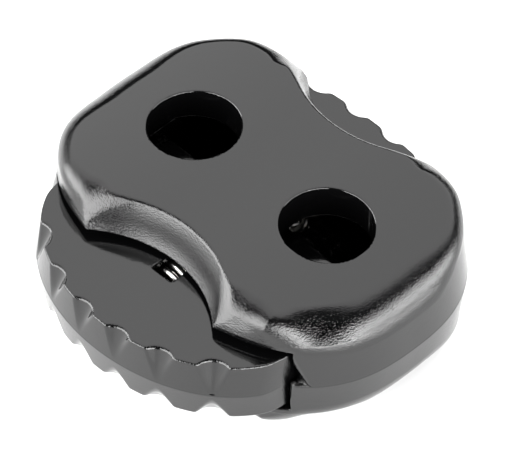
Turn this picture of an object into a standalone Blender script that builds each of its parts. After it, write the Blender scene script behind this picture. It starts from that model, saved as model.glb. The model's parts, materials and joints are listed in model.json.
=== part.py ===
"""Two-hole cord lock: a moulded housing, a sprung plunger and a coil spring.

The housing's two plates carry a pair of cord holes. The plunger slides between the
plates and has the same pair of holes. The spring pushes it out, so that the cords are
gripped between the plunger's holes and the housing's, until the plunger is pressed in.

Units are metres. +X runs through the two cord holes, the plunger is pressed towards +Y,
and Z = 0 is the flat land on the bottom plate, midway between the holes.
"""

import math

import bmesh
import bpy
from mathutils import Matrix, Vector

# Cords and spring, which set the sizes around them
HOLE_RADIUS = 0.0025
SPRING_DIAMETER = 0.0030
SPRING_WIRE = 0.00045
SPRING_TURNS = 10
SPRING_END_TURNS = 2
SPRING_END_PITCH = 0.00058

# Plunger
PLUNGER_TRAVEL = 0.0033
PLUNGER_SKIN = 0.000225        # plunger left above and below the spring bore
PLUNGER_WEB = 0.00074          # plunger left between spring bore and cord hole
PLUNGER_ARM = 0.00114          # plunger left outside each cord hole
PLUNGER_REAR_WEB = 0.0010      # plunger left behind each cord hole
PLUNGER_STEP = 0.00045         # its inner part is thinner by this, above and below
NOSE_SLAB = 0.0070             # front to back of the full-height nose
NOSE_WALL = 0.0048             # solid nose in front of the spring
NOSE_CURVE_DEPTH = 0.0066      # front-to-back half axis of the nose's ellipse
NOSE_CURVE_SIDE = 0.0005       # how far that ellipse passes outside the flanks
NOSE_DRAFT = 0.00025           # the push face leans in by this from its middle height
WINDOW_WIDTH = 0.0014
FLEX_SLOT_WIDTH = 0.0005
ARM_LENGTH = 0.0016            # snap arm behind the rear web
HOOK_REACH = 0.0006
HOOK_LENGTH = 0.0014
HOOK_HEIGHT = 0.0016

# Housing
THICKNESS = 0.0085
HOUSING_DEPTH = 0.0176         # front to back, without the plunger
END_WALL = 0.00277             # solid ends beside the plunger
BACK_WALL = 0.0034
MOUTH_LIP = 0.00035            # wall left where the end walls stop at the front
MOUTH_RELIEF = 0.00055         # upper front corners lean back by this at middle height
PLATE_SETBACK = 0.00025        # the plates' straight edges, measured in from the oval
OVAL_POWER = 2.5               # 2 is an ellipse, and more is squarer
CROWN_RADIUS = 0.0545          # the plates curve down towards both ends
LAND_HALF_WIDTH = 0.0021       # flat strip between the holes, before the crown starts
RIM_ROUND = 0.00165            # rounding of the outer edges of both plates
RIM_DRAFT = 0.0003             # side walls lean in by this from middle height
SCOOP_BITE = 0.00258           # thumb scoops, measured in from the oval
SCOOP_RADIUS = 0.00645         # at the scoop's floor
SCOOP_FLARE = 0.0009           # growth of that radius up to the top surface

# Scallops on the push face and on the rim behind
NOTCH_PITCH = 0.00266
NOTCH_PAIRS = 3
NOTCH_RADIUS = 0.0010
NOTCH_POINT = 0.0004           # radius at the end inside the wall
NOTCH_OFFSET = 0.00055         # centre of each notch, out from the edge it cuts
NOTCH_STOP = 0.00035           # upper notches end this far above middle height
NOTCH_LOW_STOP = 0.0009        # lower notches end this far below it

# Clearances
SLIDE_GAP = 0.00015            # beside the plunger and its hooks
FACE_GAP = 0.00025             # above and below the plunger
SPRING_SIDE_GAP = 0.00015
SPRING_END_GAP = 0.0003
TRAVEL_SPARE = 0.0003
STOP_GAP = 0.00015
NOSE_SINK = 0.0002             # the nose goes in by this past the oval when fully pressed
LEAD_IN_HEIGHT = 0.0002
LEAD_IN_DEPTH = 0.0030

# Resolution of the curved shapes
OVAL_QUARTER_STEPS = 13
ROUND_STEPS = 4
NOSE_STEPS = 26
HOLE_SIDES = 36
SCOOP_SIDES = 72
NOTCH_SIDES = 12
BORE_SIDES = 20
SPRING_STEPS = 13
PAST = 0.001                   # how far cutters reach past what they cut

# Worked out from the sizes above
MIDDLE_Z = THICKNESS / 2
BORE_RADIUS = SPRING_DIAMETER / 2 + SPRING_SIDE_GAP
HOLE_X = BORE_RADIUS + PLUNGER_WEB + HOLE_RADIUS
FLANK_X = HOLE_X + HOLE_RADIUS + PLUNGER_ARM
PLUNGER_HALF_HEIGHT = BORE_RADIUS + PLUNGER_SKIN
CAVITY_X = FLANK_X + SLIDE_GAP
CAVITY_HALF_HEIGHT = PLUNGER_HALF_HEIGHT + FACE_GAP
HALF_LENGTH = CAVITY_X + END_WALL
HALF_DEPTH = HOUSING_DEPTH / 2
CAVITY_BACK_Y = HALF_DEPTH - BACK_WALL
NOSE_TIP_Y = NOSE_SINK - HALF_DEPTH - PLUNGER_TRAVEL
BORE_FLOOR_Y = NOSE_TIP_Y + NOSE_WALL
WEB_BACK_Y = -PLUNGER_TRAVEL + HOLE_RADIUS + PLUNGER_REAR_WEB
ARM_BACK_Y = min(WEB_BACK_Y + ARM_LENGTH, CAVITY_BACK_Y - PLUNGER_TRAVEL - TRAVEL_SPARE)
HOOK_X = FLANK_X + HOOK_REACH
HOOK_FRONT_Y = ARM_BACK_Y - HOOK_LENGTH
SPRING_FRONT_Y = BORE_FLOOR_Y + SPRING_END_GAP
SPRING_BACK_Y = CAVITY_BACK_Y - SPRING_END_GAP
SCOOP_CENTRE_Y = HALF_DEPTH - SCOOP_BITE + SCOOP_RADIUS


def clear_scene():
    for old in list(bpy.data.objects):
        bpy.data.objects.remove(old, do_unlink=True)


def principled(name, colour, roughness, metallic):
    material = bpy.data.materials.new(name)
    material.use_nodes = True
    shader = material.node_tree.nodes["Principled BSDF"]
    shader.inputs["Base Color"].default_value = (*colour, 1.0)
    shader.inputs["Roughness"].default_value = roughness
    shader.inputs["Metallic"].default_value = metallic
    return material


def add_object(name, mesh_data, material=None):
    """Link a new object. A mesh_data of BMesh type is turned into a mesh and freed."""
    if isinstance(mesh_data, bmesh.types.BMesh):
        mesh = bpy.data.meshes.new(name)
        mesh_data.to_mesh(mesh)
        mesh_data.free()
    else:
        mesh = mesh_data
    if material:
        mesh.materials.append(material)
    piece = bpy.data.objects.new(name, mesh)
    bpy.context.scene.collection.objects.link(piece)
    return piece


def cut(piece, cutter_bmesh, name):
    """Cut piece by the solids in a bmesh, given in world coordinates."""
    cutter = add_object(name, cutter_bmesh)
    cutter.hide_render = True
    cutter.display_type = "WIRE"
    modifier = piece.modifiers.new(name, "BOOLEAN")
    modifier.operation = "DIFFERENCE"
    modifier.solver = "EXACT"
    modifier.object = cutter


def ring(bm, points):
    return [bm.verts.new(point) for point in points]


def bridge(bm, lower, upper):
    count = len(lower)
    for i in range(count):
        j = (i + 1) % count
        bm.faces.new((lower[i], lower[j], upper[j], upper[i]))


def add_prism(bm, outline, low_z, high_z):
    """Upright prism on a counter-clockwise outline of (x, y) points."""
    lower = ring(bm, [(x, y, low_z) for x, y in outline])
    upper = ring(bm, [(x, y, high_z) for x, y in outline])
    bridge(bm, lower, upper)
    bm.faces.new(lower[::-1])
    bm.faces.new(upper)


def add_cross_prism(bm, profile, low_x, high_x):
    """Prism along X on a profile of (y, z) points, counter-clockwise seen from +X."""
    left = ring(bm, [(low_x, y, z) for y, z in profile])
    right = ring(bm, [(high_x, y, z) for y, z in profile])
    bridge(bm, left, right)
    bm.faces.new(left[::-1])
    bm.faces.new(right)


def add_box(bm, low, high):
    outline = [(low[0], low[1]), (high[0], low[1]), (high[0], high[1]), (low[0], high[1])]
    add_prism(bm, outline, low[2], high[2])


def add_cone(bm, x, y, low_z, high_z, low_radius, high_radius, sides):
    """Upright cone frustum, or a cylinder where both radii are the same."""
    place = Matrix.Translation((x, y, (low_z + high_z) / 2))
    bmesh.ops.create_cone(
        bm, cap_ends=True, segments=sides, radius1=low_radius, radius2=high_radius,
        depth=high_z - low_z, matrix=place)


# Housing -----------------------------------------------------------------------------

def oval_y(x, half_length, half_depth):
    """Positive y of the oval at x."""
    share = min(abs(x) / half_length, 1.0)
    return half_depth * (1.0 - share ** OVAL_POWER) ** (1.0 / OVAL_POWER)


def oval_outline(inset):
    """Counter-clockwise oval, made of points in pairs that share an x."""
    half_length = HALF_LENGTH - inset
    half_depth = HALF_DEPTH - inset
    steps = 2 * OVAL_QUARTER_STEPS
    points = []
    for i in range(2 * steps):
        angle = math.pi * i / steps
        c = math.cos(angle)
        s = math.sin(angle)
        x = math.copysign(abs(c) ** (2 / OVAL_POWER), c) * half_length
        y = math.copysign(abs(s) ** (2 / OVAL_POWER), s) * half_depth
        points.append((x, y))
    points[0] = (half_length, 0.0)
    points[steps] = (-half_length, 0.0)
    return points


def crown_drop(x):
    return max(abs(x) - LAND_HALF_WIDTH, 0.0) ** 2 / (2 * CROWN_RADIUS)


def side_profile():
    """(inset, height above middle) from middle height up over the rounded edge."""
    profile = [(0.0, 0.0)]
    for i in range(ROUND_STEPS + 1):
        angle = math.pi / 2 * i / ROUND_STEPS
        inset = RIM_DRAFT + RIM_ROUND * (1 - math.cos(angle))
        height = MIDDLE_Z - RIM_ROUND * (1 - math.sin(angle))
        profile.append((inset, height))
    return profile


def oval_level(bm, inset, height):
    """A ring of the body: the crown lowers it only as far as it is near the top."""
    share = max((abs(height) - (MIDDLE_Z - RIM_ROUND)) / RIM_ROUND, 0.0)
    points = []
    for x, y in oval_outline(inset):
        drop = crown_drop(x) * share
        z = height - math.copysign(drop, height)
        points.append((x, y, MIDDLE_Z + z))
    return ring(bm, points)


def cap_with_strips(bm, outline_ring, upwards):
    """Fill a ring with strips between the points that share an x."""
    count = len(outline_ring)
    half = count // 2
    for i in range(half):
        corners = [outline_ring[i], outline_ring[i + 1]]
        for j in (half * 2 - i - 1, (half * 2 - i) % count):
            if outline_ring[j] not in corners:
                corners.append(outline_ring[j])
        if not upwards:
            corners.reverse()
        bm.faces.new(corners)


def housing_body():
    """The full oval with rounded edges, crowned plates and drafted sides."""
    profile = side_profile()
    levels = [(inset, -height) for inset, height in reversed(profile[1:])] + profile
    bm = bmesh.new()
    rings = [oval_level(bm, inset, height) for inset, height in levels]
    for lower, upper in zip(rings, rings[1:]):
        bridge(bm, lower, upper)
    cap_with_strips(bm, rings[0], upwards=False)
    cap_with_strips(bm, rings[-1], upwards=True)
    return bm


def mouth_front_y():
    """Where the end walls stop: the oval is one lip wider than the cavity there."""
    share = (CAVITY_X + MOUTH_LIP) / HALF_LENGTH
    return -HALF_DEPTH * (1.0 - share ** OVAL_POWER) ** (1.0 / OVAL_POWER)


def add_side_box(bm, side, inner_x, outer_x, front_y, back_y, half_height):
    """A box about middle height, on the side of the part that side's sign says."""
    inner = side * inner_x
    outer = side * outer_x
    add_box(bm, (min(inner, outer), front_y, MIDDLE_Z - half_height),
            (max(inner, outer), back_y, MIDDLE_Z + half_height))


def cavity_cutter():
    """The plunger's room, open at the front."""
    bm = bmesh.new()
    add_box(bm, (-CAVITY_X, -HALF_DEPTH - PAST, MIDDLE_Z - CAVITY_HALF_HEIGHT),
            (CAVITY_X, CAVITY_BACK_Y, MIDDLE_Z + CAVITY_HALF_HEIGHT))
    return bm


def hook_channel_cutter():
    """Channels in the end walls for the hooks, which stop against their front ends."""
    bm = bmesh.new()
    front = HOOK_FRONT_Y - STOP_GAP
    back = ARM_BACK_Y + PLUNGER_TRAVEL + SLIDE_GAP
    for side in (-1, 1):
        add_side_box(bm, side, CAVITY_X - PAST / 2, HOOK_X + SLIDE_GAP, front, back,
                     HOOK_HEIGHT / 2 + SLIDE_GAP)
    return bm


def mouth_cutter():
    """Stops the end walls where the oval leaves a lip outside the cavity."""
    bm = bmesh.new()
    for side in (-1, 1):
        add_side_box(bm, side, CAVITY_X - PAST / 2, HALF_LENGTH + PAST,
                     -HALF_DEPTH - PAST, mouth_front_y(), CAVITY_HALF_HEIGHT)
    return bm


def mouth_relief_cutter():
    """Wedges that lean the upper half of each front corner back to middle height."""
    bm = bmesh.new()
    mouth_y = mouth_front_y()
    profile = [
        (mouth_y - PAST, MIDDLE_Z),
        (mouth_y + MOUTH_RELIEF, MIDDLE_Z),
        (mouth_y, MIDDLE_Z + CAVITY_HALF_HEIGHT - PAST / 4),
        (mouth_y - PAST, MIDDLE_Z + CAVITY_HALF_HEIGHT - PAST / 4),
    ]
    for side in (-1, 1):
        near, far = sorted((side * (CAVITY_X - PAST / 2), side * (HALF_LENGTH + PAST)))
        add_cross_prism(bm, profile, near, far)
    return bm


def plate_edge_cutter():
    """Trims the plates to straight edges between the scoops and the front corners."""
    bm = bmesh.new()
    cusp_x = SCOOP_RADIUS * 2 / 3
    cusp_y = oval_y(cusp_x, HALF_LENGTH, HALF_DEPTH) - RIM_DRAFT - PLATE_SETBACK
    slope = (cusp_y + mouth_front_y()) / (CAVITY_X - cusp_x)
    peak_y = cusp_y + slope * cusp_x
    far_x = HALF_LENGTH + PAST
    far_y = peak_y - slope * far_x
    outer_y = peak_y + PAST
    outline = [(-far_x, far_y), (0, peak_y), (far_x, far_y), (far_x, outer_y), (-far_x, outer_y)]
    low = PLUNGER_HALF_HEIGHT
    high = MIDDLE_Z + PAST
    for flip in (1, -1):
        turned = [(flip * x, flip * y) for x, y in outline]
        add_prism(bm, turned, MIDDLE_Z + low, MIDDLE_Z + high)
        add_prism(bm, turned, MIDDLE_Z - high, MIDDLE_Z - low)
    return bm


def lead_in_cutter():
    """Wedges that open the mouth a little, above and below the plunger."""
    bm = bmesh.new()
    front = -HALF_DEPTH - PAST
    slope = LEAD_IN_HEIGHT / LEAD_IN_DEPTH
    back = -HALF_DEPTH + LEAD_IN_DEPTH
    edge = CAVITY_HALF_HEIGHT - PAST / 4
    tip = (CAVITY_HALF_HEIGHT - edge) / slope
    rise = (back - front) * slope
    for up in (-1, 1):
        corners = [
            (front, MIDDLE_Z + up * edge),
            (back + tip, MIDDLE_Z + up * edge),
            (front, MIDDLE_Z + up * (CAVITY_HALF_HEIGHT + rise)),
        ]
        if up < 0:
            corners.reverse()
        add_cross_prism(bm, corners, -CAVITY_X, CAVITY_X)
    return bm


def scoop_cutter():
    """Four thumb scoops: above and below the plunger, in front and behind."""
    bm = bmesh.new()
    rise = MIDDLE_Z - PLUNGER_HALF_HEIGHT
    reach = rise + PAST
    top_radius = SCOOP_RADIUS + SCOOP_FLARE * reach / rise
    for side in (-1, 1):
        y = side * SCOOP_CENTRE_Y
        floor = MIDDLE_Z + PLUNGER_HALF_HEIGHT
        add_cone(bm, 0, y, floor, floor + reach, SCOOP_RADIUS, top_radius, SCOOP_SIDES)
        ceiling = MIDDLE_Z - PLUNGER_HALF_HEIGHT
        add_cone(bm, 0, y, ceiling - reach, ceiling, top_radius, SCOOP_RADIUS, SCOOP_SIDES)
    return bm


def hole_cutter(y):
    bm = bmesh.new()
    for side in (-1, 1):
        add_cone(bm, side * HOLE_X, y, -PAST, THICKNESS + PAST,
                 HOLE_RADIUS, HOLE_RADIUS, HOLE_SIDES)
    return bm


def notch_cutter(edge_y, outwards):
    """Cone notches in the upper and lower edges of a scalloped wall.

    edge_y gives the wall's edge at a notch's x, and outwards is the sign of y that
    points away from the wall there.
    """
    bm = bmesh.new()
    for up, stop in ((1, NOTCH_STOP), (-1, NOTCH_LOW_STOP)):
        rise = PLUNGER_HALF_HEIGHT - stop
        reach = rise + SLIDE_GAP
        radius = NOTCH_POINT + (NOTCH_RADIUS - NOTCH_POINT) * reach / rise
        for i in range(2 * NOTCH_PAIRS):
            x = (i - NOTCH_PAIRS + 0.5) * NOTCH_PITCH
            y = edge_y(x) + outwards * NOTCH_OFFSET
            if up > 0:
                low = MIDDLE_Z + stop
                add_cone(bm, x, y, low, low + reach, NOTCH_POINT, radius, NOTCH_SIDES)
            else:
                high = MIDDLE_Z - stop
                add_cone(bm, x, y, high - reach, high, radius, NOTCH_POINT, NOTCH_SIDES)
    return bm


def rim_edge_y(x):
    inset = RIM_DRAFT * PLUNGER_HALF_HEIGHT / (MIDDLE_Z - RIM_ROUND)
    return oval_y(x, HALF_LENGTH - inset, HALF_DEPTH - inset)


def make_housing(material):
    housing = add_object("housing", housing_body(), material)
    cut(housing, scoop_cutter(), "scoop_cut")
    cut(housing, notch_cutter(rim_edge_y, 1), "rim_notch_cut")
    cut(housing, plate_edge_cutter(), "plate_edge_cut")
    cut(housing, cavity_cutter(), "cavity_cut")
    cut(housing, hook_channel_cutter(), "hook_channel_cut")
    cut(housing, mouth_cutter(), "mouth_cut")
    cut(housing, mouth_relief_cutter(), "mouth_relief_cut")
    cut(housing, lead_in_cutter(), "lead_in_cut")
    cut(housing, hole_cutter(0.0), "housing_hole_cut")
    return housing


# Plunger -----------------------------------------------------------------------------

def nose_y(x, inset):
    """Front of the plunger at x, on an ellipse that passes outside the flanks."""
    side = FLANK_X + NOSE_CURVE_SIDE - inset
    depth = NOSE_CURVE_DEPTH - inset
    centre = NOSE_TIP_Y + NOSE_CURVE_DEPTH
    return centre - depth * math.sqrt(1.0 - (x / side) ** 2)


def nose_face_y(x):
    return nose_y(x, NOSE_DRAFT)


def plunger_outline(inset):
    """Counter-clockwise from the rear left corner, round the nose."""
    points = [(-FLANK_X, ARM_BACK_Y)]
    for i in range(NOSE_STEPS + 1):
        x = -FLANK_X * math.cos(math.pi * i / NOSE_STEPS)
        points.append((x, nose_y(x, inset)))
    points.append((FLANK_X, ARM_BACK_Y))
    return points


def plunger_body():
    """The flat slab: its push face is widest at middle height."""
    bm = bmesh.new()
    levels = ((-PLUNGER_HALF_HEIGHT, NOSE_DRAFT), (0.0, 0.0), (PLUNGER_HALF_HEIGHT, NOSE_DRAFT))
    rings = []
    for height, inset in levels:
        outline = plunger_outline(inset)
        rings.append(ring(bm, [(x, y, MIDDLE_Z + height) for x, y in outline]))
    for lower, upper in zip(rings, rings[1:]):
        bridge(bm, lower, upper)
    bm.faces.new(rings[0][::-1])
    bm.faces.new(rings[-1])
    return bm


def hooks():
    """Wedge hooks on the outside of the two snap arms."""
    bm = bmesh.new()
    root = FLANK_X - PLUNGER_ARM / 2
    for side in (-1, 1):
        outline = [
            (side * root, HOOK_FRONT_Y),
            (side * HOOK_X, HOOK_FRONT_Y),
            (side * HOOK_X, ARM_BACK_Y - HOOK_LENGTH / 2),
            (side * FLANK_X, ARM_BACK_Y - SLIDE_GAP),
            (side * root, ARM_BACK_Y - SLIDE_GAP),
        ]
        if side < 0:
            outline.reverse()
        add_prism(bm, outline, MIDDLE_Z - HOOK_HEIGHT / 2, MIDDLE_Z + HOOK_HEIGHT / 2)
    return bm


def rear_cutter():
    """Space between the snap arms, and the slots that let them flex."""
    arm_x = HOLE_X + HOLE_RADIUS
    gap = bmesh.new()
    add_box(gap, (-arm_x, WEB_BACK_Y, -PAST), (arm_x, ARM_BACK_Y + PAST, THICKNESS + PAST))
    slots = bmesh.new()
    for side in (-1, 1):
        inner = side * (arm_x - FLEX_SLOT_WIDTH)
        outer = side * arm_x
        add_box(slots, (min(inner, outer), -PLUNGER_TRAVEL, -PAST),
                (max(inner, outer), WEB_BACK_Y + PAST, THICKNESS + PAST))
    return gap, slots


def inner_step_cutter():
    """Thins the plunger behind its nose, between the arms, so that it slides freely."""
    bm = bmesh.new()
    arm_x = HOLE_X + HOLE_RADIUS
    front = NOSE_TIP_Y + NOSE_SLAB
    inner = PLUNGER_HALF_HEIGHT - PLUNGER_STEP
    outer = PLUNGER_HALF_HEIGHT + PAST
    add_box(bm, (-arm_x, front, MIDDLE_Z + inner), (arm_x, WEB_BACK_Y + PAST, MIDDLE_Z + outer))
    add_box(bm, (-arm_x, front, MIDDLE_Z - outer), (arm_x, WEB_BACK_Y + PAST, MIDDLE_Z - inner))
    return bm


def bore_cutter():
    """The spring's bore, open at the back, and the window slot above it."""
    length = WEB_BACK_Y + PAST - BORE_FLOOR_Y
    place = Matrix.Translation((0, BORE_FLOOR_Y + length / 2, MIDDLE_Z))
    turn = Matrix.Rotation(math.pi / 2, 4, "X")
    bore = bmesh.new()
    bmesh.ops.create_cone(
        bore, cap_ends=True, segments=BORE_SIDES, radius1=BORE_RADIUS, radius2=BORE_RADIUS,
        depth=length, matrix=place @ turn)
    window = bmesh.new()
    half = WINDOW_WIDTH / 2
    add_box(window, (-half, BORE_FLOOR_Y, MIDDLE_Z + BORE_RADIUS / 2),
            (half, WEB_BACK_Y + PAST, MIDDLE_Z + PLUNGER_HALF_HEIGHT + PAST))
    return bore, window


def make_plunger(material):
    plunger = add_object("plunger", plunger_body(), material)
    hook_object = add_object("plunger_hooks", hooks())
    hook_object.hide_render = True
    hook_object.display_type = "WIRE"
    union = plunger.modifiers.new("plunger_hooks", "BOOLEAN")
    union.operation = "UNION"
    union.solver = "EXACT"
    union.object = hook_object
    gap, slots = rear_cutter()
    bore, window = bore_cutter()
    cut(plunger, notch_cutter(nose_face_y, -1), "nose_notch_cut")
    cut(plunger, hole_cutter(-PLUNGER_TRAVEL), "plunger_hole_cut")
    cut(plunger, gap, "arm_gap_cut")
    cut(plunger, slots, "flex_slot_cut")
    cut(plunger, inner_step_cutter(), "inner_step_cut")
    cut(plunger, bore, "spring_bore_cut")
    cut(plunger, window, "window_cut")
    return plunger


# Spring ------------------------------------------------------------------------------

def spring_points():
    """A helix along Y with close-wound turns at both ends."""
    radius = (SPRING_DIAMETER - SPRING_WIRE) / 2
    start = SPRING_FRONT_Y + SPRING_WIRE / 2
    length = SPRING_BACK_Y - SPRING_FRONT_Y - SPRING_WIRE
    active = SPRING_TURNS - 2 * SPRING_END_TURNS
    active_pitch = (length - 2 * SPRING_END_TURNS * SPRING_END_PITCH) / active
    points = []
    for i in range(SPRING_TURNS * SPRING_STEPS + 1):
        turn = i / SPRING_STEPS
        closed = min(turn, SPRING_END_TURNS) + max(turn - SPRING_TURNS + SPRING_END_TURNS, 0)
        y = start + closed * SPRING_END_PITCH + (turn - closed) * active_pitch
        angle = 2 * math.pi * turn
        points.append(Vector((radius * math.cos(angle), y, MIDDLE_Z + radius * math.sin(angle))))
    return points


def make_spring(material):
    curve = bpy.data.curves.new("spring", "CURVE")
    curve.dimensions = "3D"
    curve.bevel_depth = SPRING_WIRE / 2
    curve.bevel_resolution = 1
    curve.use_fill_caps = True
    points = spring_points()
    spline = curve.splines.new("POLY")
    spline.points.add(len(points) - 1)
    for target, point in zip(spline.points, points):
        target.co = (*point, 1.0)
    return add_object("spring", curve, material)


def centre_on_slide(plunger):
    """Put the plunger's origin on its sliding axis, with its shape where it is."""
    offset = Vector((0, -PLUNGER_TRAVEL, MIDDLE_Z))
    plunger.data.transform(Matrix.Translation(-offset))
    plunger.location = offset


def main():
    clear_scene()
    black = principled("black_moulded_plastic", (0.012, 0.012, 0.013), 0.25, 0.0)
    steel = principled("spring_steel", (0.62, 0.62, 0.60), 0.25, 1.0)
    make_housing(black)
    centre_on_slide(make_plunger(black))
    make_spring(steel)


main()
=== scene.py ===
"""Looks of the two-hole cord lock.

The housing and the plunger are moulded shapes with soft fillets everywhere, so both are
described as distance fields in millimetres, about the part's middle height, and meshed
finely here. The spring is a swept wire. Outer sizes follow the CAD model's boxes, and the
mechanism's sizes repeat the CAD model's. The roundings, the straight edges beside the
thumb scoops and the slopes under them are finer here and are this file's own.
"""
import json
import math

import bpy
import numpy as np
from mathutils import Matrix, Vector


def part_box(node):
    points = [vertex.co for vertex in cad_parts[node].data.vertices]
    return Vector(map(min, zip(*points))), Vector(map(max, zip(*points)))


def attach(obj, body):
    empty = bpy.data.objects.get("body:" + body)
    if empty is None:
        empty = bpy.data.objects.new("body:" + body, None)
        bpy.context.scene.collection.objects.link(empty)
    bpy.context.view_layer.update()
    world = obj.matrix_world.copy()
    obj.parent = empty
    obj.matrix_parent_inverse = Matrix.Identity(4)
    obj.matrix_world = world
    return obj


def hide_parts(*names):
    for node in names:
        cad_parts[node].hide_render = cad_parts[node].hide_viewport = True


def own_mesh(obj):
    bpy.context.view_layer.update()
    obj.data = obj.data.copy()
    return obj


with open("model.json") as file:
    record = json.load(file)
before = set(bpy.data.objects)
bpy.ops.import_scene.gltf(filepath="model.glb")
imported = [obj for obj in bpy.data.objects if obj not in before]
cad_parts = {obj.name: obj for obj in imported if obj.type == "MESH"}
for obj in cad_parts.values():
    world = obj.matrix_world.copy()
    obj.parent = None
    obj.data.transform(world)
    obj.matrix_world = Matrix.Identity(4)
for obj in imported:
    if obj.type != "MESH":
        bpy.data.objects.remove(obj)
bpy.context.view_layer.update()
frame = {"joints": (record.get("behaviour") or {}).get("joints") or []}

MM = 0.001

# Sizes in millimetres ----------------------------------------------------------------
housing_low, housing_high = (np.array(corner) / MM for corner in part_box("housing"))
plunger_low, plunger_high = (np.array(corner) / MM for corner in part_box("plunger"))
spring_low, spring_high = (np.array(corner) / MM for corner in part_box("spring"))

MIDDLE_Z = (housing_low[2] + housing_high[2]) / 2
HALF_HEIGHT = (housing_high[2] - housing_low[2]) / 2
HALF_LENGTH = housing_high[0]
HALF_DEPTH = housing_high[1]
OVAL_POWER = 2.5
CROWN_RADIUS = 54.5
LAND_HALF_WIDTH = 2.1
RIM_ROUND = 1.8
EDGE_ROUND = 0.8
CORNER_ROUND = 0.9
SOFT_CORNER_ROUND = 1.8
RIM_DRAFT = 0.3
RIM_DRAFT_HEIGHT = 2.6
HOLE_ROUND = 0.08
SHARP_ROUND = 0.1
MOUTH_ROUND = 0.12
SMALL_ROUND = 0.15

SLAB_HALF_HEIGHT = (plunger_high[2] - plunger_low[2]) / 2
NOSE_TIP_Y = plunger_low[1]
ARM_BACK_Y = plunger_high[1]
HOOK_X = plunger_high[0]
HOOK_LENGTH = 1.4
HOOK_HALF_HEIGHT = 0.8
HOOK_SLOPE = 0.8
FLANK_X = HOOK_X - 0.6
NOSE_CURVE_DEPTH = 6.6
NOSE_CURVE_SIDE = 0.5
NOSE_DRAFT = 0.25
NOSE_CORNER_ROUND = 0.4

HOLE_RADIUS = 2.5
HOLE_X = 4.89
TRAVEL = frame["joints"][0]["range_m"][1] / MM
ARM_X = HOLE_X + HOLE_RADIUS
WEB_BACK_Y = HOLE_RADIUS - TRAVEL + 1.0
PLUNGER_STEP = 0.45
STEP_Y = NOSE_TIP_Y + 7.0
FLEX_SLOT_WIDTH = 0.5
BORE_RADIUS = 1.65
BORE_FLOOR_Y = spring_low[1] - 0.3
WINDOW_HALF_WIDTH = 0.7

SLIDE_GAP = 0.15
FACE_GAP = 0.25
CAVITY_X = FLANK_X + SLIDE_GAP
CAVITY_HALF_HEIGHT = SLAB_HALF_HEIGHT + FACE_GAP
CAVITY_BACK_Y = spring_high[1] + 0.3
MOUTH_LIP = 0.35
MOUTH_RELIEF = 0.55
MOUTH_SIDE_WIDTH = 1.0
LEAD_IN_HEIGHT = 0.2
LEAD_IN_DEPTH = 3.0

PLATE_LOW = CAVITY_HALF_HEIGHT
SCOOP_BITE = 2.58
SCOOP_RADIUS = 6.45
SCOOP_FLARE = 0.95
SCOOP_ROUND = 0.14
SCOOP_SWELL = 0.3
CUSP_ROUND = 0.04
CUSP_ROUND_GROWTH = 1.6
BEVEL = 1.1
BEVEL_START = 0.2
SCOOP_CENTRE_Y = HALF_DEPTH - SCOOP_BITE + SCOOP_RADIUS

# Where one rounding or slope of the plates turns into the next: distances from the middle
# along X for the scoop, the straight edge and the lobe, and along Y for the lobe's sides
SCOOP_TO_EDGE = (4.3, 5.5)
EDGE_TO_LOBE = (7.2, 9.4)
RIM_TO_LOBE = (1.0, 5.0)
SOFT_LOBE_BLEND = 1.0
BEVEL_FADE_START = 4.8
BEVEL_FADE_END = 8.0
SOFT_BEVEL_REACH = 1.2
LOBE_BEVEL_RISE = (2.2, 4.8)
LOBE_BEVEL_FALL = (5.0, 6.2)
LOBE_BEVEL_DROP = 0.7

NOTCH_PITCH = 2.66
NOTCH_PAIRS = 3
NOTCH_RADIUS = 1.0
NOTCH_OFFSET = 0.55
NOTCH_STOP = 0.35
NOTCH_LOW_STOP = 0.9
NOTCH_SLOPE = 0.93
NOTCH_LEAN = 0.2
LEDGE = 0.04
LEDGE_HEIGHT = 0.12

VOXEL = 0.1
MARGIN = 2.5 * VOXEL
SLABS = 8
SLOPE_STEP = 0.01
LEAST_SLOPE = 0.05
MOST_TRIANGLES = 190000
MIDDLE = np.array([0, 0, MIDDLE_Z])


# Distance fields ---------------------------------------------------------------------
# A field is negative inside. Every radius and distance is in millimetres.

def both(a, b, radius):
    """Where a and b overlap, with the edge between them rounded."""
    corner = np.hypot(np.maximum(a + radius, 0), np.maximum(b + radius, 0))
    return np.minimum(np.maximum(a, b), -radius) + corner


def either(a, b, radius):
    """a and b joined, with a fillet of that radius."""
    return -both(-a, -b, radius)


def without(a, b, radius):
    """a cut by b, with the edge rounded."""
    return both(a, -b, radius)


def smooth_step(low, high, value):
    share = np.clip((value - low) / (high - low), 0, 1)
    return share * share * (3 - 2 * share)


def oval_y(x, half_length=HALF_LENGTH, half_depth=HALF_DEPTH):
    share = np.minimum(np.abs(x) / half_length, 1.0)
    return half_depth * (1.0 - share ** OVAL_POWER) ** (1.0 / OVAL_POWER)


def oval_field(x, y):
    """First-order distance to the housing's oval."""
    tiny = 1e-4
    u = np.maximum(np.abs(x) / HALF_LENGTH, tiny)
    v = np.maximum(np.abs(y) / HALF_DEPTH, tiny)
    level = (u ** OVAL_POWER + v ** OVAL_POWER) ** (1 / OVAL_POWER)
    slope_x = (u / level) ** (OVAL_POWER - 1) / HALF_LENGTH
    slope_y = (v / level) ** (OVAL_POWER - 1) / HALF_DEPTH
    return (level - 1) / np.hypot(slope_x, slope_y)


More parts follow.
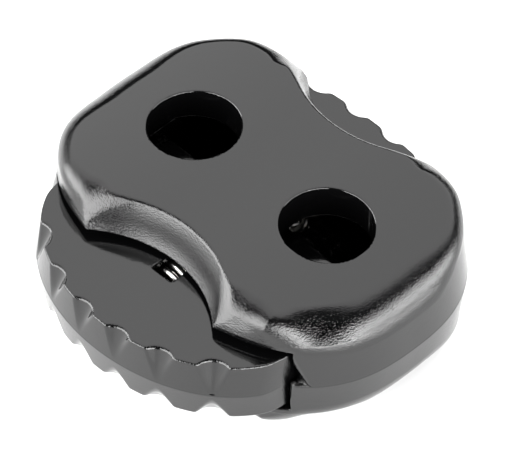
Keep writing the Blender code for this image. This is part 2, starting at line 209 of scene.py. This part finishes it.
def cone_notches(x, y, z, edge_y, outwards, draft):
    """Shallow cone notches that open at the top and bottom edges of a scalloped wall.

    draft is how far the wall leans in from middle height to those edges.
    """
    height = np.abs(z)
    stop = np.where(z > 0, NOTCH_STOP, NOTCH_LOW_STOP)
    share = (height - stop) / (SLAB_HALF_HEIGHT - stop)
    start = NOTCH_OFFSET - draft * (1 - stop / SLAB_HALF_HEIGHT)
    radius = start + (NOTCH_RADIUS - start) * share
    field = None
    for i in range(2 * NOTCH_PAIRS):
        notch_x = (i - NOTCH_PAIRS + 0.5) * NOTCH_PITCH
        notch_y = edge_y(notch_x) + outwards * NOTCH_OFFSET
        cone = (np.hypot(x - notch_x, y - notch_y) - radius) * NOTCH_SLOPE
        field = cone if field is None else np.minimum(field, cone)
    return field


def parting_step(z):
    """The lower half of each moulding stands out by a hair below the parting line."""
    return LEDGE * (1 - smooth_step(-LEDGE_HEIGHT, 0.0, z))


MOUTH_Y = -float(oval_y(CAVITY_X + MOUTH_LIP))
CUSP_X = SCOOP_RADIUS * 2 / 3
CUSP_Y = float(oval_y(CUSP_X)) - RIM_DRAFT
EDGE_SLOPE = 0.3


def rim_edge_y(x):
    return float(oval_y(x)) - NOTCH_LEAN


def housing_field(x, y, z):
    height = np.abs(z)
    crown = np.maximum(np.abs(x) - LAND_HALF_WIDTH, 0) ** 2 / (2 * CROWN_RADIUS)
    top = height - (HALF_HEIGHT - crown)
    side = oval_field(x, y) + RIM_DRAFT * np.minimum(height / RIM_DRAFT_HEIGHT, 1)
    side = side + LEDGE - parting_step(z)

    # Plates: straight edges, thumb scoops and the rounding over their top edges
    level = np.clip((height - PLATE_LOW) / (HALF_HEIGHT - PLATE_LOW), 0, 1)
    edge = np.abs(y) - CUSP_Y + EDGE_SLOPE * (np.abs(x) - CUSP_X)
    wall = both(side, edge / math.hypot(1, EDGE_SLOPE), SMALL_ROUND)
    swell = level + SCOOP_SWELL * np.sin(2 * math.pi * level) / (2 * math.pi)
    scoop_radius = SCOOP_RADIUS + SCOOP_FLARE * swell
    scoop = scoop_radius - np.hypot(x, np.abs(y) - SCOOP_CENTRE_Y)

    # The lobe at the front right is softer than the other three
    along = np.abs(x)
    blend = SOFT_LOBE_BLEND
    soft_lobe = smooth_step(-blend, blend, x) * smooth_step(-blend, blend, -y)
    corner_round = CORNER_ROUND + (SOFT_CORNER_ROUND - CORNER_ROUND) * soft_lobe
    to_edge = smooth_step(*SCOOP_TO_EDGE, along)
    to_lobe = smooth_step(*EDGE_TO_LOBE, along)
    near_rim = 1 - smooth_step(*RIM_TO_LOBE, np.abs(y))
    rounding = (SCOOP_ROUND + (EDGE_ROUND - SCOOP_ROUND) * to_edge
                + (corner_round - EDGE_ROUND) * to_lobe
                + (RIM_ROUND - corner_round) * near_rim)
    fade_start = BEVEL_FADE_START + SOFT_BEVEL_REACH * soft_lobe
    straight_share = 1 - smooth_step(fade_start, BEVEL_FADE_END, along)
    lobe_share = (smooth_step(*LOBE_BEVEL_RISE, np.abs(y))
                  - LOBE_BEVEL_DROP * smooth_step(*LOBE_BEVEL_FALL, np.abs(y)))
    bevel_share = np.maximum(straight_share, soft_lobe * lobe_share)
    bevel = BEVEL * np.maximum(level - BEVEL_START, 0) * bevel_share
    plan = both(wall + bevel, scoop, CUSP_ROUND + CUSP_ROUND_GROWTH * level ** 1.5)
    plates = both(plan, top, rounding)

    # Rim: the full oval at the height of the plunger
    rim = both(side, height - SLAB_HALF_HEIGHT, SMALL_ROUND)
    rim = without(rim, cone_notches(x, y, z, rim_edge_y, 1, NOTCH_LEAN), SMALL_ROUND)
    body = np.maximum(either(plates, rim, SHARP_ROUND), side)

    # Cavity, its mouth and the lead-in
    inside = np.maximum(np.abs(x) - CAVITY_X, y - CAVITY_BACK_Y)
    lead_share = np.clip((-HALF_DEPTH + LEAD_IN_DEPTH - y) / LEAD_IN_DEPTH, 0, 1)
    lead = LEAD_IN_HEIGHT * lead_share
    room = np.maximum(inside, height - CAVITY_HALF_HEIGHT - lead)
    body = without(body, room, SHARP_ROUND)
    relief = np.where(z > 0, MOUTH_RELIEF * (1 - z / CAVITY_HALF_HEIGHT), 0)
    mouth = np.maximum(y - MOUTH_Y - relief, height - CAVITY_HALF_HEIGHT)
    mouth = np.maximum(mouth, CAVITY_X - MOUTH_SIDE_WIDTH - np.abs(x))
    body = without(body, mouth, MOUTH_ROUND)

    # Channels for the hooks
    channel = np.maximum(np.abs(x) - HOOK_X - SLIDE_GAP,
                         height - HOOK_HALF_HEIGHT - SLIDE_GAP)
    channel_front = ARM_BACK_Y - HOOK_LENGTH - SLIDE_GAP
    channel_back = ARM_BACK_Y + TRAVEL + SLIDE_GAP
    channel = np.maximum(channel, np.maximum(channel_front - y, y - channel_back))
    body = np.maximum(body, -channel)

    # Cord holes
    holes = np.hypot(np.abs(x) - HOLE_X, y) - HOLE_RADIUS
    return without(body, holes, HOLE_ROUND)


def nose_field(x, y, height):
    """The push face's ellipse, which leans in above and below middle height."""
    lean = NOSE_DRAFT * height / SLAB_HALF_HEIGHT
    side = FLANK_X + NOSE_CURVE_SIDE
    centre = NOSE_TIP_Y + NOSE_CURVE_DEPTH
    u = x / side
    v = np.minimum(y - centre, 0) / NOSE_CURVE_DEPTH
    level = np.maximum(np.hypot(u, v), 1e-4)
    slope = np.hypot(u / side, v / NOSE_CURVE_DEPTH) / level
    return (level - 1) / np.maximum(slope, 1e-4) + lean


def nose_edge_y(x):
    """The push face's edge at the plunger's top and bottom."""
    side = FLANK_X + NOSE_CURVE_SIDE - NOSE_DRAFT
    depth = NOSE_CURVE_DEPTH - NOSE_DRAFT
    return NOSE_TIP_Y + NOSE_CURVE_DEPTH - depth * math.sqrt(1 - (x / side) ** 2)


def plunger_field(x, y, z):
    height = np.abs(z)
    flank = np.abs(x) - FLANK_X
    nose = nose_field(x, y, height) + LEDGE - parting_step(z)
    plan = both(flank, nose, NOSE_CORNER_ROUND)
    plan = both(plan, y - ARM_BACK_Y, SMALL_ROUND)
    body = both(plan, height - SLAB_HALF_HEIGHT, SHARP_ROUND)
    notches = cone_notches(x, y, z, nose_edge_y, -1, NOSE_DRAFT)
    body = without(body, notches, MOUTH_ROUND)

    # Snap arms and hooks
    hook_face = np.minimum(HOOK_X - FLANK_X, HOOK_SLOPE * (ARM_BACK_Y - y))
    hook = np.maximum(flank - hook_face, ARM_BACK_Y - HOOK_LENGTH - y)
    hook = np.maximum(hook, height - HOOK_HALF_HEIGHT)
    hook = np.maximum(hook, np.maximum(y - ARM_BACK_Y, ARM_X - np.abs(x)))
    body = np.minimum(body, hook)
    gap = np.maximum(np.abs(x) - ARM_X, WEB_BACK_Y - y)
    body = without(body, gap, SHARP_ROUND)
    half_width = FLEX_SLOT_WIDTH / 2
    slot = np.abs(np.abs(x) - ARM_X + half_width) - half_width
    body = np.maximum(body, -np.maximum(slot, -TRAVEL - y))

    # Thinner behind the nose, between the arms
    step = np.maximum(np.abs(x) - ARM_X, STEP_Y - y)
    step = np.maximum(step, SLAB_HALF_HEIGHT - PLUNGER_STEP - height)
    body = without(body, step, SHARP_ROUND)

    # Cord holes, spring bore and the window above it
    holes = np.hypot(np.abs(x) - HOLE_X, y + TRAVEL) - HOLE_RADIUS
    body = without(body, holes, SMALL_ROUND)
    bore = np.maximum(np.hypot(x, z) - BORE_RADIUS, BORE_FLOOR_Y - y)
    window = both(np.abs(x) - WINDOW_HALF_WIDTH, BORE_FLOOR_Y - y, SMALL_ROUND)
    window = np.maximum(window, -z)
    return without(body, np.minimum(bore, window), HOLE_ROUND)


# Meshing -----------------------------------------------------------------------------

def grid_axes(low, high, fine_levels):
    """Even axes, except that Z steps shrink to 0.35 of a voxel around some heights."""
    axes = [np.arange(a - MARGIN, b + 3 * VOXEL, VOXEL) for a, b in zip(low, high)]
    levels = [low[2] - MARGIN]
    while levels[-1] < high[2] + MARGIN:
        gap = min(abs(abs(levels[-1]) - level) for level in fine_levels)
        levels.append(levels[-1] + VOXEL * (0.35 + 0.65 * min(gap / (2 * VOXEL), 1)))
    axes[2] = np.array(levels)
    return axes


def sample(field, axes):
    """The field on a grid, worked out in slabs to save memory."""
    x = axes[0][:, None, None].astype(np.float32)
    y = axes[1][None, :, None].astype(np.float32)
    slabs = []
    for z in np.array_split(axes[2].astype(np.float32), SLABS):
        slab = field(x, y, z[None, None, :])
        slabs.append(np.broadcast_to(slab, (x.size, y.size, z.size)))
    return np.concatenate(slabs, axis=2)


def surface_net(values):
    """One vertex in each grid cell that the zero level crosses, joined by quads."""
    cells = tuple(n - 1 for n in values.shape)
    total = np.zeros((3, cells[0] * cells[1] * cells[2]))
    count = np.zeros(total.shape[1])
    quads = []
    for axis in range(3):
        ahead = [slice(None)] * 3
        ahead[axis] = slice(1, None)
        behind = [slice(None)] * 3
        behind[axis] = slice(None, -1)
        first = values[tuple(behind)]
        second = values[tuple(ahead)]
        at = np.nonzero((first < 0) != (second < 0))
        a = first[at]
        share = a / (a - second[at])
        place = np.array(at, float)
        place[axis] += share
        u = (axis + 1) % 3
        v = (axis + 2) % 3
        around = []
        for step_u, step_v in ((0, 0), (-1, 0), (-1, -1), (0, -1)):
            cell = [c.copy() for c in at]
            cell[u] += step_u
            cell[v] += step_v
            flat = np.ravel_multi_index(cell, cells)
            around.append(flat)
            count += np.bincount(flat, minlength=count.size)
            for k in range(3):
                total[k] += np.bincount(flat, weights=place[k], minlength=count.size)
        around = np.stack(around, axis=1)
        outwards = a < 0
        quads.append(around[outwards])
        quads.append(around[~outwards][:, ::-1])
    used = np.nonzero(count)[0]
    number = np.full(count.size, -1)
    number[used] = np.arange(used.size)
    points = (total[:, used] / count[used]).T
    return points, number[np.concatenate(quads)]


def gradient(field, points):
    slopes = []
    for axis in range(3):
        shift = np.zeros(3)
        shift[axis] = SLOPE_STEP
        high = field(*(points + shift).T)
        low = field(*(points - shift).T)
        slopes.append((high - low) / (2 * SLOPE_STEP))
    return np.stack(slopes, axis=1)


def settle(field, points, rounds):
    """Move points onto the zero level along the field's slope."""
    for _ in range(rounds):
        slope = gradient(field, points)
        size = np.maximum((slope ** 2).sum(axis=1), LEAST_SLOPE)
        move = field(*points.T) / size
        move = np.clip(move, -0.4 * VOXEL, 0.4 * VOXEL)
        points = points - slope * move[:, None]
    return points


def set_points(mesh, points):
    """Points in millimetres about middle height become the mesh's, in metres."""
    moved = (points + MIDDLE) * MM
    mesh.vertices.foreach_set("co", moved.astype(np.float32).ravel())
    mesh.update()


def get_points(mesh):
    points = np.empty(len(mesh.vertices) * 3, np.float32)
    mesh.vertices.foreach_get("co", points)
    return points.reshape(-1, 3).astype(float) / MM - MIDDLE


def add_object(name, data):
    added = bpy.data.objects.new(name, data)
    bpy.context.scene.collection.objects.link(added)
    return added


def add_piece(name, mesh, body, material):
    mesh.materials.append(material)
    piece = add_object(name, mesh)
    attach(piece, body)
    return piece


def thin_out(mesh, name):
    """Collapse edges until the mesh has at most MOST_TRIANGLES."""
    triangles = 2 * len(mesh.polygons)
    if triangles <= MOST_TRIANGLES:
        return mesh
    scratch = add_object(name + "_scratch", mesh)
    modifier = scratch.modifiers.new("thin", "DECIMATE")
    modifier.ratio = MOST_TRIANGLES / triangles
    graph = bpy.context.evaluated_depsgraph_get()
    thinned = bpy.data.meshes.new_from_object(scratch.evaluated_get(graph))
    bpy.data.objects.remove(scratch)
    return thinned


# The grain by the upright share of a face's normal: 0 on a wall, 1 on a level face
WALL_TO_EDGE = (0.1, 0.35)
EDGE_TO_FLAT = (0.9, 0.995)
LEVEL_FACE = 0.95
EDGE_GRAIN = 0.7
WALL_GRAIN = 0.35
LOW_WALL_GROWTH = 1.3
LOW_WALL_FADE = (PLATE_LOW + 0.5, PLATE_LOW + 0.9)
HOLE_MARGIN = 0.3


def grain_share(points, normals):
    """How strong the mould's grain is at each point, from 0 to 1."""
    x, y, z = points.T
    height = np.abs(z)
    turn = np.abs(normals[:, 2])
    edges = smooth_step(*WALL_TO_EDGE, turn) * (1 - smooth_step(*EDGE_TO_FLAT, turn))
    edges = edges * smooth_step(SLAB_HALF_HEIGHT - 0.2, SLAB_HALF_HEIGHT, height)
    distance = np.hypot(x, np.abs(y) - SCOOP_CENTRE_Y)
    scoop = SCOOP_RADIUS + LOW_WALL_GROWTH - distance
    low_wall = smooth_step(-0.1, 0.1, scoop) * (1 - smooth_step(*LOW_WALL_FADE, height))
    low_wall = low_wall * smooth_step(PLATE_LOW - 0.1, PLATE_LOW, height)
    low_wall = low_wall * (turn < LEVEL_FACE)
    walls = WALL_GRAIN * (1 - smooth_step(*WALL_TO_EDGE, turn))
    share = np.maximum(np.maximum(EDGE_GRAIN * edges, low_wall), walls)
    in_hole = np.hypot(np.abs(x) - HOLE_X, y) < HOLE_RADIUS + HOLE_MARGIN
    return np.where(in_hole, 0, share)


def moulded_mesh(name, field, low, high, fine_levels):
    """The field's zero level as a mesh whose normals are the field's own."""
    axes = grid_axes(low - MIDDLE, high - MIDDLE, fine_levels)
    points, quads = surface_net(sample(field, axes))
    points = np.stack([np.interp(points[:, k], np.arange(axes[k].size), axes[k])
                       for k in range(3)], axis=1)
    points = settle(field, points, 2)
    mesh = bpy.data.meshes.new(name)
    mesh.from_pydata(points.tolist(), [], quads.tolist())
    set_points(mesh, points)
    mesh = thin_out(mesh, name)
    points = settle(field, get_points(mesh), 2)
    set_points(mesh, points)
    mesh.shade_smooth()
    normals = gradient(field, points)
    normals /= np.maximum(np.linalg.norm(normals, axis=1, keepdims=True), 1e-6)
    mesh.normals_split_custom_set_from_vertices(normals.tolist())
    grain = mesh.attributes.new("mould_grain", "FLOAT", "POINT")
    grain.data.foreach_set("value", grain_share(points, normals).astype(np.float32))
    mesh.name = name
    return mesh


# Materials ---------------------------------------------------------------------------

def node(tree, kind, **inputs):
    made = tree.nodes.new(kind)
    for name, value in inputs.items():
        made.inputs[name.replace("_", " ")].default_value = value
    return made


PLASTIC_COLOUR = (0.0012, 0.0012, 0.0013, 1)
STEEL_COLOUR = (0.72, 0.71, 0.69, 1)
FLOOR_COLOUR = (0.9, 0.9, 0.9, 1)
GRAIN_SCALE = 13000.0
SWELL_SCALE = 1300.0
DRAWN_SCALE = 6000.0
BUMP_HEIGHT = 0.00003


def new_material(name, colour):
    """A material of that base colour, its node tree and its shader."""
    material = bpy.data.materials.new(name)
    material.use_nodes = True
    tree = material.node_tree
    shader = tree.nodes["Principled BSDF"]
    shader.inputs["Base Color"].default_value = colour
    return material, tree, shader


def black_plastic(name):
    """Black moulded plastic: polished faces, and a fine grain where a face turns.

    Mould texture is strongest on the rounded edges and the lower part of the thumb
    scoops, fainter on the upright walls, and almost gone on the flat faces.
    """
    material, tree, shader = new_material(name, PLASTIC_COLOUR)
    shader.inputs["IOR"].default_value = 1.5
    place = tree.nodes.new("ShaderNodeTexCoord")
    texture = tree.nodes.new("ShaderNodeAttribute")
    texture.attribute_name = "mould_grain"
    grain = node(tree, "ShaderNodeTexNoise", Scale=GRAIN_SCALE, Detail=1.0, Roughness=0.5)
    swell = node(tree, "ShaderNodeTexNoise", Scale=SWELL_SCALE, Detail=3.0,
                 Roughness=0.55)
    tree.links.new(place.outputs["Object"], grain.inputs["Vector"])
    tree.links.new(place.outputs["Object"], swell.inputs["Vector"])
    rough = node(tree, "ShaderNodeMapRange", To_Min=0.07, To_Max=0.12)
    tree.links.new(texture.outputs["Fac"], rough.inputs["Value"])
    spread = node(tree, "ShaderNodeMapRange", To_Min=-0.03, To_Max=0.03)
    tree.links.new(swell.outputs["Fac"], spread.inputs["Value"])
    total = tree.nodes.new("ShaderNodeMath")
    total.operation = "ADD"
    tree.links.new(rough.outputs["Result"], total.inputs[0])
    tree.links.new(spread.outputs["Result"], total.inputs[1])
    tree.links.new(total.outputs["Value"], shader.inputs["Roughness"])
    depth = node(tree, "ShaderNodeMapRange", To_Min=0.03, To_Max=1.0)
    tree.links.new(texture.outputs["Fac"], depth.inputs["Value"])
    bump = node(tree, "ShaderNodeBump", Distance=BUMP_HEIGHT)
    tree.links.new(grain.outputs["Fac"], bump.inputs["Height"])
    tree.links.new(depth.outputs["Result"], bump.inputs["Strength"])
    bump_wide = node(tree, "ShaderNodeBump", Strength=0.12, Distance=BUMP_HEIGHT)
    tree.links.new(swell.outputs["Fac"], bump_wide.inputs["Height"])
    tree.links.new(bump.outputs["Normal"], bump_wide.inputs["Normal"])
    tree.links.new(bump_wide.outputs["Normal"], shader.inputs["Normal"])
    return material


def spring_wire():
    material, tree, shader = new_material("spring_wire", STEEL_COLOUR)
    shader.inputs["Metallic"].default_value = 1.0
    place = tree.nodes.new("ShaderNodeTexCoord")
    draw = node(tree, "ShaderNodeTexNoise", Scale=DRAWN_SCALE, Detail=2.0)
    tree.links.new(place.outputs["Object"], draw.inputs["Vector"])
    rough = node(tree, "ShaderNodeMapRange", To_Min=0.16, To_Max=0.3)
    tree.links.new(draw.outputs["Fac"], rough.inputs["Value"])
    tree.links.new(rough.outputs["Result"], shader.inputs["Roughness"])
    return material


# Pieces ------------------------------------------------------------------------------

def make_housing(material):
    mesh = moulded_mesh("housing_moulding", housing_field, housing_low, housing_high,
                        (0, PLATE_LOW, HALF_HEIGHT))
    piece = add_piece("housing_moulding", mesh, "housing", material)
    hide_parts("housing")


def make_plunger(material):
    mesh = moulded_mesh("plunger_moulding", plunger_field, plunger_low, plunger_high,
                        (0, SLAB_HALF_HEIGHT))
    piece = add_piece("plunger_moulding", mesh, "plunger", material)
    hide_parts("plunger")


WIRE_RADIUS = 0.225
SPRING_TURNS = 10
SPRING_END_TURNS = 2
SPRING_END_PITCH = 0.58
SPRING_STEPS = 40
WIRE_SIDES = 14
WIRE_DOME = 0.3 * WIRE_RADIUS


def spring_centre(turn):
    """Centre of the wire after so many turns, in millimetres about middle height."""
    length = spring_high[1] - spring_low[1] - 2 * WIRE_RADIUS
    active = SPRING_TURNS - 2 * SPRING_END_TURNS
    active_pitch = (length - 2 * SPRING_END_TURNS * SPRING_END_PITCH) / active
    closed = min(turn, SPRING_END_TURNS) + max(turn - SPRING_TURNS + SPRING_END_TURNS, 0)
    y = spring_low[1] + WIRE_RADIUS + closed * SPRING_END_PITCH
    y += (turn - closed) * active_pitch
    radius = spring_high[0] - WIRE_RADIUS
    angle = 2 * math.pi * turn
    return np.array([radius * math.cos(angle), y, radius * math.sin(angle)])


def make_spring(material):
    """A round wire swept along the coil, with domed ends."""
    count = SPRING_TURNS * SPRING_STEPS + 1
    turns = [i / SPRING_STEPS for i in range(count)]
    centres = np.array([spring_centre(turn) for turn in turns])
    along = np.gradient(centres, axis=0)
    along /= np.linalg.norm(along, axis=1, keepdims=True)
    outwards = centres * np.array([1, 0, 1])
    outwards /= np.linalg.norm(outwards, axis=1, keepdims=True)
    across = np.cross(along, outwards)
    across /= np.linalg.norm(across, axis=1, keepdims=True)
    outwards = np.cross(across, along)
    points = []
    for centre, out, side in zip(centres, outwards, across):
        for j in range(WIRE_SIDES):
            angle = 2 * math.pi * j / WIRE_SIDES
            spoke = math.cos(angle) * out + math.sin(angle) * side
            points.append(centre + WIRE_RADIUS * spoke)
    faces = []
    for i in range(count - 1):
        for j in range(WIRE_SIDES):
            k = (j + 1) % WIRE_SIDES
            row = i * WIRE_SIDES
            after = row + WIRE_SIDES
            faces.append((row + k, row + j, after + j, after + k))
    first = len(points)
    points.append(centres[0] - WIRE_DOME * along[0])
    points.append(centres[-1] + WIRE_DOME * along[-1])
    last = (count - 1) * WIRE_SIDES
    for j in range(WIRE_SIDES):
        k = (j + 1) % WIRE_SIDES
        faces.append((j, k, first))
        faces.append((last + k, last + j, first + 1))
    mesh = bpy.data.meshes.new("spring_coil")
    mesh.from_pydata(points, [], faces)
    set_points(mesh, np.array(points))
    mesh.shade_smooth()
    piece = add_piece("spring_coil", mesh, "housing", material)
    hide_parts("spring")
    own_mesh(piece)


# Studio ------------------------------------------------------------------------------

CAMERA_AZIMUTH = math.radians(44.2)
CAMERA_ELEVATION = math.radians(47.78)
CAMERA_ROLL = math.radians(-1.48)
CAMERA_DISTANCE = 0.35
CAMERA_RIGHT = -0.000224
CAMERA_UP = -0.002908
LENS = 474.8
FLOOR_HALF = 2.0

# Softboxes: name, turn, elevation, width, height and radiance, as make_softbox takes them
SOFTBOXES = (
    ("far_softbox", 180, 51, 90, 44, 2.4),
    ("top_softbox", 180, 86, 60, 26, 2.2),
    ("near_softbox", -21, 16, 40, 30, 14.0),
    ("right_softbox", -68, 14, 62, 27, 12.0),
    ("left_softbox", 76, 21, 88, 40, 11.0),
)


def direction(bearing, elevation):
    """The unit vector from the part at those angles, with bearing 0 at the front."""
    flat = math.cos(elevation)
    return Vector((math.sin(bearing) * flat, -math.cos(bearing) * flat,
                   math.sin(elevation)))


def make_camera():
    back = direction(CAMERA_AZIMUTH, CAMERA_ELEVATION)
    right = Vector((math.cos(CAMERA_AZIMUTH), math.sin(CAMERA_AZIMUTH), 0))
    up = back.cross(right)
    c = math.cos(CAMERA_ROLL)
    s = math.sin(CAMERA_ROLL)
    right_rolled = c * right - s * up
    up_rolled = s * right + c * up
    data = bpy.data.cameras.new("camera")
    data.lens = LENS
    data.clip_start = 0.01
    camera = add_object("camera", data)
    target = Vector((0, 0, housing_high[2] * MM))
    place = (target + CAMERA_DISTANCE * back + CAMERA_RIGHT * right_rolled
             + CAMERA_UP * up_rolled)
    turn = Matrix((right_rolled, up_rolled, back)).transposed().to_4x4()
    camera.matrix_world = Matrix.Translation(place) @ turn
    bpy.context.scene.camera = camera


def make_floor():
    mesh = bpy.data.meshes.new("floor")
    signs = ((-1, -1), (1, -1), (1, 1), (-1, 1))
    corners = [(FLOOR_HALF * i, FLOOR_HALF * j, 0) for i, j in signs]
    mesh.from_pydata(corners, [], [(0, 1, 2, 3)])
    floor = add_object("floor", mesh)
    material, _, shader = new_material("floor_white", FLOOR_COLOUR)
    shader.inputs["Roughness"].default_value = 0.7
    mesh.materials.append(material)


def make_softbox(name, turn, elevation, width, height, radiance):
    """A soft rectangular light, aimed at the part from 1 m away.

    turn is its bearing in degrees from the camera's, clockwise seen from above, and
    width and height are the angles that it covers.
    """
    place = direction(CAMERA_AZIMUTH - math.radians(turn), math.radians(elevation))
    data = bpy.data.lights.new(name, "AREA")
    data.shape = "RECTANGLE"
    data.size = 2 * math.tan(math.radians(width / 2))
    data.size_y = 2 * math.tan(math.radians(height / 2))
    data.energy = math.pi * radiance * data.size * data.size_y
    light = add_object(name, data)
    light.location = place
    light.rotation_euler = (-place).to_track_quat("-Z", "Y").to_euler()
    light.visible_camera = False


def make_world():
    world = bpy.data.worlds.new("studio")
    world.use_nodes = True
    background = world.node_tree.nodes["Background"]
    background.inputs["Color"].default_value = (1, 1, 1, 1)
    background.inputs["Strength"].default_value = 0.05
    bpy.context.scene.world = world


bpy.context.scene.view_settings.view_transform = "Standard"
make_world()
make_floor()
make_camera()
for softbox in SOFTBOXES:
    make_softbox(*softbox)
plastic = black_plastic("black_plastic")
make_housing(plastic)
make_plunger(plastic)
make_spring(spring_wire())
